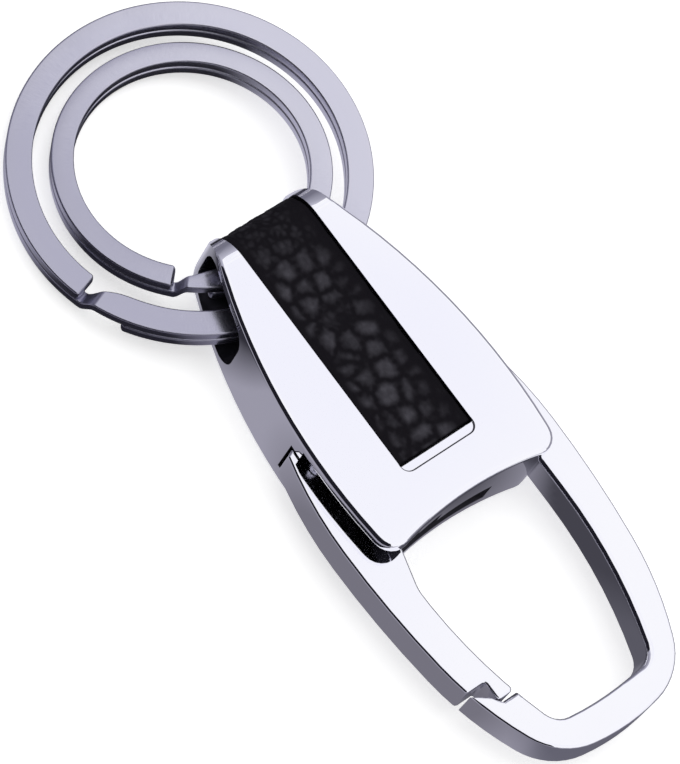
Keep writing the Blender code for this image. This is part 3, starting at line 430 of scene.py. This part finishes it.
make_ring("large_split_ring", "large_ring", "large_split_ring", "large_ring_swing",
          radius=17.5 * MM, width=2.55 * MM, thickness=1.2 * MM, arm=15.3496 * MM, end=193.7,
          turn=tilted(dip=-4.472, roll=-5.5, yaw=2.8), fade=7.5)
make_ring("small_split_ring", "small_ring", "small_split_ring", "small_ring_swing",
          radius=13.4 * MM, width=2.2 * MM, thickness=1.1 * MM, arm=11.4591 * MM, end=223.4,
          turn=tilted(dip=-7.577, roll=-3.5, yaw=1.4), fade=14.0)

# %% [markdown]
# ## The gate's spring
#
# The spring is seven turns of thin round wire. Only its edge shows, deep in the bay, so a plain round
# tube along the coil's line is all that it needs. It stands on its seat in the casting and is fixed to
# it; in the real piece the gate's root presses it together as the gate opens, but this coil keeps its
# shape.

# %% Spring
SPRING_WIRE = 0.17 * MM
COILS = 7
ROWS_PER_COIL = 36
WIRE_SIDES = 12


def make_spring():
    """A coil along X: the wire's centre goes round at a steady rate while it moves along."""
    low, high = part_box("gate_spring")
    coil = (high.y - low.y) / 2 - SPRING_WIRE
    middle = (low + high) / 2
    share = np.linspace(0, 1, COILS * ROWS_PER_COIL + 1)
    turn = share * COILS * 2 * math.pi
    x = low.x + SPRING_WIRE + share * (high.x - low.x - 2 * SPRING_WIRE)
    out = np.stack([np.zeros_like(turn), np.cos(turn), np.sin(turn)], axis=-1)
    path = np.stack([x, middle.y + coil * out[:, 1], middle.z + coil * out[:, 2]], axis=-1)
    round_wire = np.linspace(0, 2 * math.pi, WIRE_SIDES, endpoint=False)
    along = np.array([1.0, 0.0, 0.0])
    points = (path[:, None, :] + SPRING_WIRE * np.cos(round_wire)[None, :, None] * out[:, None, :]
              + SPRING_WIRE * np.sin(round_wire)[None, :, None] * along)
    return swept("gate_coil", points, spring_steel, "casting", "gate_spring")


spring = make_spring()
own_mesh(spring)

# %% [markdown]
# ## The leather
#
# The strip is cowhide with a large pressed pebble, dyed black through, its edges skived thin and
# painted. Pebbles are about 2 mm across, rubbed to a dark purple-grey on top, with broad black valleys.
# The mesh carries their relief as an attribute, and the material reads it: the tops are lighter and
# glossier than the valleys, in patches, because no hide is worn evenly. The valleys' dark is partly
# painted shade in the creases, and the same attribute also carries painted shade over the tip and along
# the edges. Only the pores and the finest wrinkles are left to a bump.

# %% Leather's material
WORN_PATCH = 1.1 * MM
PORE = 0.22 * MM
WRINKLE = 0.12 * MM


def make_leather():
    """Black leather: pebble tops a little lighter and glossier than the creases, by relief and painted shade.
    """
    material, tree, shader = principled("pebbled_black_cowhide")
    place = add(tree, "ShaderNodeTexCoord").outputs["Object"]
    relief = add(tree, "ShaderNodeAttribute", attribute_name="pebble").outputs["Fac"]
    tone_drift = add(tree, "ShaderNodeTexNoise", {"Vector": place, "Scale": 1 / WORN_PATCH, "Detail": 6.0})
    worn = add(tree, "ShaderNodeMapRange", {"Value": tone_drift.outputs["Fac"], "From Min": 0.3, "From Max": 0.7,
                                            "To Min": 0.5})
    shown = add(tree, "ShaderNodeMath", {0: relief, 1: worn.outputs["Result"]}, operation="MULTIPLY")
    tone = add(tree, "ShaderNodeMapRange", {"Value": shown.outputs[0], "From Min": 0.08, "From Max": 0.9})
    # Painted shade: the creases take the dark colour, the rubbed tops the lighter one.
    colour = add(tree, "ShaderNodeMix", {"Factor": tone.outputs["Result"], COLOUR_A: linear("#151318"),
                                         COLOUR_B: linear("#3c3a42")}, data_type="RGBA")
    dull = add(tree, "ShaderNodeMapRange", {"Value": relief, "To Min": 0.75, "To Max": 0.55})
    shine = add(tree, "ShaderNodeMapRange", {"Value": shown.outputs[0], "To Min": 0.05, "To Max": 0.3})
    pores = add(tree, "ShaderNodeTexVoronoi", {"Vector": place, "Scale": 1 / PORE})
    wrinkles = add(tree, "ShaderNodeTexNoise", {"Vector": place, "Scale": 1 / WRINKLE, "Detail": 3.0})
    grain = add(tree, "ShaderNodeMath", {0: pores.outputs["Distance"], 1: wrinkles.outputs["Fac"]},
                operation="ADD")
    bump = add(tree, "ShaderNodeBump", {"Height": grain.outputs[0], "Strength": 0.5,
                                        "Distance": 0.025 * MM})
    tree.links.new(colour.outputs[COLOUR_OUT], shader.inputs["Base Color"])
    tree.links.new(dull.outputs["Result"], shader.inputs["Roughness"])
    tree.links.new(shine.outputs["Result"], shader.inputs["Specular IOR Level"])
    tree.links.new(bump.outputs["Normal"], shader.inputs["Normal"])
    return material


leather = make_leather()
print("made", leather.name)

# %% [markdown]
# ## The way the strip lies
#
# The strip starts near the body's wide end, lies along the front face, bends over the narrow end in two
# quarter turns and ends on the back. That line lies in one plane, Y and Z. The strip is then a sheet with
# one measure along the line and one across it, which makes it easy to say where a pebble lies.

# %% The strip's line
strip_low, strip_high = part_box("leather_strip")
STRIP_MIDDLE = (strip_low.x + strip_high.x) / 2
SWELL = 0.2 * MM
STRIP_HALF = (strip_high.x - strip_low.x) / 2 + SWELL
FRONT_END = strip_low.y
BACK_END = 3.48 * MM
TIP = strip_high.y
TIP_ROUND = 3.35 * MM
FACE = strip_high.z
STRIP_ROWS = 460


def strip_line(steps):
    """The strip's outer line in Y and Z, with its outward normal: front, quarter turn, quarter turn, back."""
    start = TIP - TIP_ROUND
    turn = TIP_ROUND * math.pi / 2
    runs = np.array([start - FRONT_END, turn, FACE - strip_low.z - 2 * TIP_ROUND, turn, start - BACK_END])
    edges = np.concatenate([[0], np.cumsum(runs)])
    s = np.linspace(0, edges[-1], steps)
    first = np.clip((s - edges[1]) / runs[1], 0, 1) * math.pi / 2
    second = np.clip((s - edges[3]) / runs[3], 0, 1) * math.pi / 2
    angle = math.pi / 2 - first - second
    y = (FRONT_END + np.clip(s, 0, runs[0]) + TIP_ROUND * np.sin(first) - TIP_ROUND * (1 - np.cos(second))
         - np.clip(s - edges[4], 0, None))
    z = (FACE - TIP_ROUND * (1 - np.cos(first)) - np.clip(s - edges[2], 0, runs[2])
         - TIP_ROUND * np.sin(second))
    return s, np.stack([y, z], axis=-1), np.stack([np.cos(angle), np.sin(angle)], axis=-1)


strip_s, strip_yz, strip_normal = strip_line(STRIP_ROWS)
print("the strip is", round(strip_s[-1] / MM, 1), "mm long")

# %% [markdown]
# ## Its pebbles
#
# A pressed pebble pattern looks like soap bubbles: cells with crooked edges, no two alike. Seeds on a
# shaken grid give such cells. Over the tip the hide is stretched, so the pebbles fade there into fine
# crumples, and towards the edges, the right one most, the press has flattened them. The relief is real
# geometry here, so it bends light as leather does. Its tone is also painted darker over the tip and
# towards the edges, the right one most: that is painted shade.

# %% Cells
SHAKE = 0.42  # of a cell
SLOPE = 0.75  # of a cell
MARGIN = 2  # cells beyond the strip


def pebbles(u, v, size, seed):
    """Cells round shaken seeds: high where the second nearest seed is well farther off than the nearest."""
    rng = np.random.default_rng(seed)
    rows = np.arange(math.floor(u.min() / size) - MARGIN, math.ceil(u.max() / size) + MARGIN + 1)
    columns = np.arange(math.floor(v.min() / size) - MARGIN, math.ceil(v.max() / size) + MARGIN + 1)
    grid = np.stack(np.meshgrid(rows, columns, indexing="ij"), axis=-1).astype(float)
    grid[1::2, :, 1] += 0.5
    seeds = ((grid + rng.uniform(-SHAKE, SHAKE, grid.shape)) * size).reshape(-1, 2)
    distance = np.hypot(u.reshape(-1, 1) - seeds[:, 0], v.reshape(-1, 1) - seeds[:, 1])
    near = np.partition(distance, 1, axis=1)[:, :2]
    return eased((near[:, 1] - near[:, 0]) / (SLOPE * size)).reshape(u.shape)


# %% The strip
HIDE = 0.9 * MM
SKIVED = 0.2 * MM
CROWN = 0.12 * MM
COLUMNS = 112
UNDER_COLUMNS = 5
PEBBLE, CRUMPLE = 2.1 * MM, 2.1 * MM / 2.6
PEBBLE_SHARE, CRUMPLE_SHARE = 0.84, 0.16
TIP_FADE = 4.5 * MM
# the last of these is painted shade: how much the tone darkens over the tip
TIP_FLATTENED, TIP_CRUMPLED, TIP_PAINTED_SHADE = 0.6, 0.13, 0.2
RELIEF = 0.13 * MM
EDGE_BAND = 0.5 * MM
CALM_LEFT, CALM_RIGHT, CALM_END = 0.7 * MM, 2.4 * MM, 0.6 * MM
# painted shade: near the edges the tone keeps only this share
CALM_SHADE = 0.12
CREASE_IN, CREASE_WIDTH, CREASE_DEPTH = 0.6 * MM, 0.1 * MM, 0.05 * MM
EDGE_WANDER = 0.006
EDGE_WAVES = ((0.9 * MM, 0.0), (0.37 * MM, 1.3), (2.3 * MM, 0.0))


def make_strip(s, line, normal):
    """The strip: a soft-edged band along its line, crowned, pebbled in two sizes, creased along its edges.

    A point lies at its place across, times the ragged edge's waves, and below the line by the sum of the
    rim's drop, the crown (the square of the share across), the valleys between pebbles and the crease.
    """
    across = np.linspace(-STRIP_HALF, STRIP_HALF, COLUMNS)
    u = np.broadcast_to(s[:, None], (len(s), COLUMNS))
    v = np.broadcast_to(across[None, :], u.shape)
    from_left = (STRIP_HALF + across)[None, :]
    from_right = (STRIP_HALF - across)[None, :]
    inset = (STRIP_HALF - np.abs(across))[None, :]
    from_end = np.minimum(s, s[-1] - s)[:, None]

    over_tip = np.clip((s - (TIP - TIP_ROUND - FRONT_END)) / TIP_FADE + 1, 0, 1)[:, None]
    large = PEBBLE_SHARE * (1 - TIP_FLATTENED * eased(over_tip))
    small = CRUMPLE_SHARE + TIP_CRUMPLED * eased(over_tip)
    relief = large * pebbles(u, v, PEBBLE, seed=7) + small * pebbles(u, v, CRUMPLE, seed=8)

    calm = (np.clip((from_left - EDGE_BAND) / CALM_LEFT, 0, 1)
            * np.clip((from_right - EDGE_BAND) / CALM_RIGHT, 0, 1))
    ends = np.clip(from_end / CALM_END, 0, 1)
    crease = np.exp(-((inset - CREASE_IN) / CREASE_WIDTH) ** 2)
    depth = (np.maximum(rim_drop(inset, SKIVED), rim_drop(from_end, SKIVED))
             + CROWN * (across / STRIP_HALF)[None, :] ** 2
             + RELIEF * (1 - relief) * calm * ends + CREASE_DEPTH * crease * ends)

    waves = sum(np.sin(s / length + shift) for length, shift in EDGE_WAVES)
    under = np.broadcast_to(np.linspace(STRIP_HALF, -STRIP_HALF, UNDER_COLUMNS), (len(s), UNDER_COLUMNS))
    x = np.concatenate([v, under], axis=1) * (1 + EDGE_WANDER * waves)[:, None]
    down = np.concatenate([depth, np.full_like(under, HIDE)], axis=1)
    points = np.stack([STRIP_MIDDLE + x, line[:, None, 0] - down * normal[:, None, 0],
                       line[:, None, 1] - down * normal[:, None, 1]], axis=-1)
    piece = swept("leather_band", points, leather, "casting", "leather_strip")

    # Painted shade: the tone darkens towards the edges, the right one most, and over the tip.
    shade = relief * (CALM_SHADE + (1 - CALM_SHADE) * calm) * (1 - TIP_PAINTED_SHADE * over_tip)
    shade = np.concatenate([shade, np.zeros_like(under)], axis=1).ravel().astype(np.float32)
    piece.data.attributes.new("pebble", "FLOAT", "POINT").data.foreach_set("value", shade)


make_strip(strip_s, strip_yz, strip_normal)

# %% [markdown]
# ## The studio
#
# A pale floor, a white dome and one wide soft lamp light the piece evenly. Chrome, though, shows nothing
# but its surroundings, and between white walls it would vanish. Product photographers put grey and black
# cards round it: a dark one gives the black line along an edge, a grey one under the piece gives the side
# walls their tone. The cards here are painted in soft patches, and only mirrors see them. They glow with
# their paint rather than being lit, so what the chrome shows of them is a painted reflection.

# %% Sheets and cards
def flat_sheet(name, points, faces, material):
    """A sheet of the set, from its points and faces."""
    mesh = bpy.data.meshes.new(name)
    mesh.from_pydata(points, [], faces)
    mesh.materials.append(material)
    sheet = bpy.data.objects.new(name, mesh)
    bpy.context.scene.collection.objects.link(sheet)
    sheet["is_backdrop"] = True
    return sheet


def patch(paint, across, along, middle, reach, soft, code):
    """Mixes a colour in within an ellipse: fully inside it, not at all outside, with a soft share between."""
    far = np.hypot((across / MM - middle[0]) / reach[0], (along / MM - middle[1]) / reach[1])
    share = np.clip((1 - far) / soft + 0.5, 0, 1)[:, None]
    return paint * (1 - share) + np.array(linear(code)) * share


def reflected_card(name, across, along, axis, place, ground, patches):
    """A card that mirrors alone see, square to an axis at one place on it, and painted at its points."""
    a, b = (grid.ravel() for grid in np.meshgrid(across, along, indexing="ij"))
    here = np.arange(len(a)).reshape(len(across), len(along))
    faces = np.stack([here[:-1, :-1], here[1:, :-1], here[1:, 1:], here[:-1, 1:]], axis=-1).reshape(-1, 4)
    card = flat_sheet(name, np.insert(np.stack([a, b], axis=-1), axis, place, axis=1), faces, card_paint)
    paint = np.broadcast_to(np.array(linear(ground)), (len(a), 4))
    for middle, reach, soft, code in patches:
        paint = patch(paint, a, b, middle, reach, soft, code)
    layer = card.data.color_attributes.new("paint", "FLOAT_COLOR", "POINT")
    layer.data.foreach_set("color", paint.ravel())
    card.visible_camera = False
    card.visible_diffuse = False
    card.visible_shadow = False
    card.visible_transmission = False
    print(name, "has", len(patches), "patches")


def painted():
    """A card that glows, though it is no lamp: it gives off the colour painted at each of its points."""
    material = bpy.data.materials.new("painted_card")
    material.use_nodes = True
    tree = material.node_tree
    tree.nodes.clear()
    paint = add(tree, "ShaderNodeAttribute", attribute_name="paint")
    glow = add(tree, "ShaderNodeEmission", {"Color": paint.outputs["Color"]})
    add(tree, "ShaderNodeOutputMaterial", {"Surface": glow.outputs["Emission"]})
    return material

# %% [markdown]
# ## White paper
#
# In the photograph the piece lies on pure white. Plain white paper would come out grey wherever the lamp
# is weak, so the floor here also glows a little by itself. The camera and the mirrors see that glow, but
# it lights nothing, and the piece's shadow still shows.

# %% The floor
FLOOR_GLOW = 0.5
FLOOR_DROP = 0.05 * MM
HALF_FLOOR = 1.5
CORNERS = ((-1, -1), (1, -1), (1, 1), (-1, 1))


def seen_directly(tree):
    """One for rays that show a thing itself or its mirror image, nought for those that carry its light."""
    path = add(tree, "ShaderNodeLightPath")
    most = add(tree, "ShaderNodeMath", {0: path.outputs["Is Camera Ray"], 1: path.outputs["Is Glossy Ray"]},
               operation="MAXIMUM")
    return add(tree, "ShaderNodeMath", {0: most.outputs[0], 1: path.outputs["Is Transmission Ray"]},
               operation="MAXIMUM").outputs[0]


def white_floor():
    """White paper lit from below and above: its own glow keeps it white, and a shadow still shows on it."""
    material, tree, shader = principled("lit_white_paper")
    shader.inputs["Base Color"].default_value = linear("#f6f6f6")
    shader.inputs["Roughness"].default_value = 0.9
    shader.inputs["Specular IOR Level"].default_value = 0.1
    shader.inputs["Emission Color"].default_value = linear("#ffffff")
    glow = add(tree, "ShaderNodeMath", {0: seen_directly(tree), 1: FLOOR_GLOW}, operation="MULTIPLY")
    tree.links.new(glow.outputs[0], shader.inputs["Emission Strength"])
    return material


floor = flat_sheet("floor", [(x * HALF_FLOOR, y * HALF_FLOOR, -FLOOR_DROP) for x, y in CORNERS],
                   [(0, 1, 2, 3)], white_floor())
print("made the", floor.name)

# %% [markdown]
# ## The cards
#
# The card below lies just over the floor. Its points are close together near the piece and far apart at
# its rim, and each of its patches gives some wall of the piece its tone; the dark patches near the piece
# are painted shadow, seen only in the chrome. Three more cards stand round it: a black one to the left, a
# low grey one to the right and a pale one behind, darker towards its end.

# %% Cards
NEAR, FAR = 70 * MM, 330 * MM
BELOW_POINTS = 241
CARD_FOOT = -0.005
CARD_HALF = 0.6
CARD_POINTS = (13, 61)
UNDER_THE_PIECE = (  # middle and half axes in mm, softness, colour
    ((-250, 0), (205, 900), 0.1, "#17171b"),  # far to the left
    ((0, 30), (30, 20), 0.3, "#c6c5d2"),  # under the rings
    ((-14, 17), (8, 10), 0.5, "#2f2e36"),  # left of the slot
    ((3.5, 38), (15.5, 11), 0.4, "#2a292f"),  # under the far side of the rings
    ((-13, -21), (5, 18), 0.5, "#77757f"),  # beside the gate
    ((0.6, -29.5), (10.5, 11), 0.35, "#5b5a63"),  # inside the loop
    ((3, -23.5), (8.5, 7.5), 0.6, "#45444c"),  # inside the loop, next to the body
    ((0, -46), (20, 7), 0.6, "#666571"))  # past the hook's foot

STANDING = (  # height, shift along, axis and place on it, in metres, then colour and patches as above
    ("dark_flag_left", 0.55, 0.0, 0, -0.3, "#1b1a22", ()),
    ("grey_card_right", 0.14, 0.0, 0, 0.4, "#7f7e89", ()),
    ("grey_card_behind", 0.65, 0.3, 1, 0.5, "#bfbecc", (((300, 0), (900, 380), 1.2, "#757482"),)))

card_paint = painted()
step = np.linspace(-1, 1, BELOW_POINTS)
spread = NEAR * step + FAR * step**5
reflected_card("card_below", spread, spread, 2, -FLOOR_DROP / 2, "#9d9ba8", UNDER_THE_PIECE)
reach = np.linspace(-CARD_HALF, CARD_HALF, CARD_POINTS[0])
rise = np.linspace(0, 1, CARD_POINTS[1])
for name, height, shift, axis, place, ground, patches in STANDING:
    reflected_card(name, reach + shift, height * rise + CARD_FOOT, axis, place, ground, patches)

# %% [markdown]
# ## A white dome and a soft lamp
#
# The dome is made as the paper is: what the camera and the mirrors see of it is white, and the light that
# it sheds is set apart from that. The lamp adds the soft shadow that shows where the piece lies.

# %% Dome and lamp
DOME_LIGHT = 0.65


def make_world():
    """A white dome, in mirrors with faint lavender drifts, and a dimmer plain one for the light it sheds."""
    world = bpy.data.worlds.new("studio")
    bpy.context.scene.world = world
    world.use_nodes = True
    tree = world.node_tree
    way = add(tree, "ShaderNodeTexCoord").outputs["Generated"]
    drift = add(tree, "ShaderNodeTexNoise", {"Vector": way, "Scale": 7.0, "Detail": 1.0})
    share = add(tree, "ShaderNodeMapRange", {"Value": drift.outputs["Fac"], "From Min": 0.35,
                                             "From Max": 0.65})
    dome = add(tree, "ShaderNodeMix", {"Factor": share.outputs["Result"], COLOUR_A: linear("#ffffff"),
                                       COLOUR_B: linear("#f7f7fe")}, data_type="RGBA")
    mirrored = add(tree, "ShaderNodeLightPath").outputs["Is Glossy Ray"]
    seen = add(tree, "ShaderNodeMix", {"Factor": mirrored, COLOUR_A: linear("#ffffff"),
                                       COLOUR_B: dome.outputs[COLOUR_OUT]}, data_type="RGBA")
    shown = add(tree, "ShaderNodeBackground", {"Color": seen.outputs[COLOUR_OUT], "Strength": 1.0})
    lit = add(tree, "ShaderNodeBackground", {"Color": linear("#ffffff"), "Strength": DOME_LIGHT})
    mix = add(tree, "ShaderNodeMixShader", {0: seen_directly(tree), 1: lit.outputs[0], 2: shown.outputs[0]})
    tree.links.new(mix.outputs[0], tree.nodes["World Output"].inputs["Surface"])


def soft_lamp(name, place, aim, width, power):
    """A square soft box that shines from a place towards a point; mirrors don't see it."""
    data = bpy.data.lights.new(name, "AREA")
    data.size = width
    data.energy = power
    lamp = bpy.data.objects.new(name, data)
    lamp.location = place
    lamp.rotation_euler = (Vector(aim) - Vector(place)).to_track_quat("-Z", "Y").to_euler()
    lamp.visible_glossy = False
    bpy.context.scene.collection.objects.link(lamp)


make_world()
soft_lamp("overhead", place=(0.3, 0.2, 1.25), aim=(0.0, 0.0, 0.0), width=1.0, power=4.7)
print("lit by a dome and one lamp")

# %% [markdown]
# ## The camera
#
# The photograph was taken from the left of the hook and above, with a long lens, about 40 cm away. The
# place and turn below came from matching the outlines of the rings, body and hook.

# %% Camera
CAMERA_PLACE = (-175.78 * MM, -64.757 * MM, 353.12 * MM)
CAMERA_ROTATION = (2.66414263, -0.83049749, 0.55377535)
FOCAL_PIXELS = 4243.5
PICTURE = (680, 764)
SENSOR = 36.0


def make_camera():
    """A camera from a turn given as an axis times an angle, for axes right, down and ahead."""
    turn = Vector(CAMERA_ROTATION)
    seen = Matrix.Rotation(turn.length, 3, turn.normalized())
    data = bpy.data.cameras.new("camera")
    data.sensor_width = SENSOR
    data.lens = FOCAL_PIXELS * SENSOR / max(PICTURE)
    camera = bpy.data.objects.new("camera", data)
    flip = Matrix(((1, 0, 0), (0, -1, 0), (0, 0, -1)))
    camera.matrix_world = Matrix.Translation(CAMERA_PLACE) @ (seen.transposed() @ flip).to_4x4()
    bpy.context.scene.collection.objects.link(camera)
    bpy.context.scene.camera = camera
    print("lens, mm:", round(data.lens, 1))


make_camera()
bpy.context.scene.view_settings.view_transform = "Standard"

# %% Sizes and the end
low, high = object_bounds()
print("visual box, mm:", [round(v / MM, 2) for v in (*low, *high)])
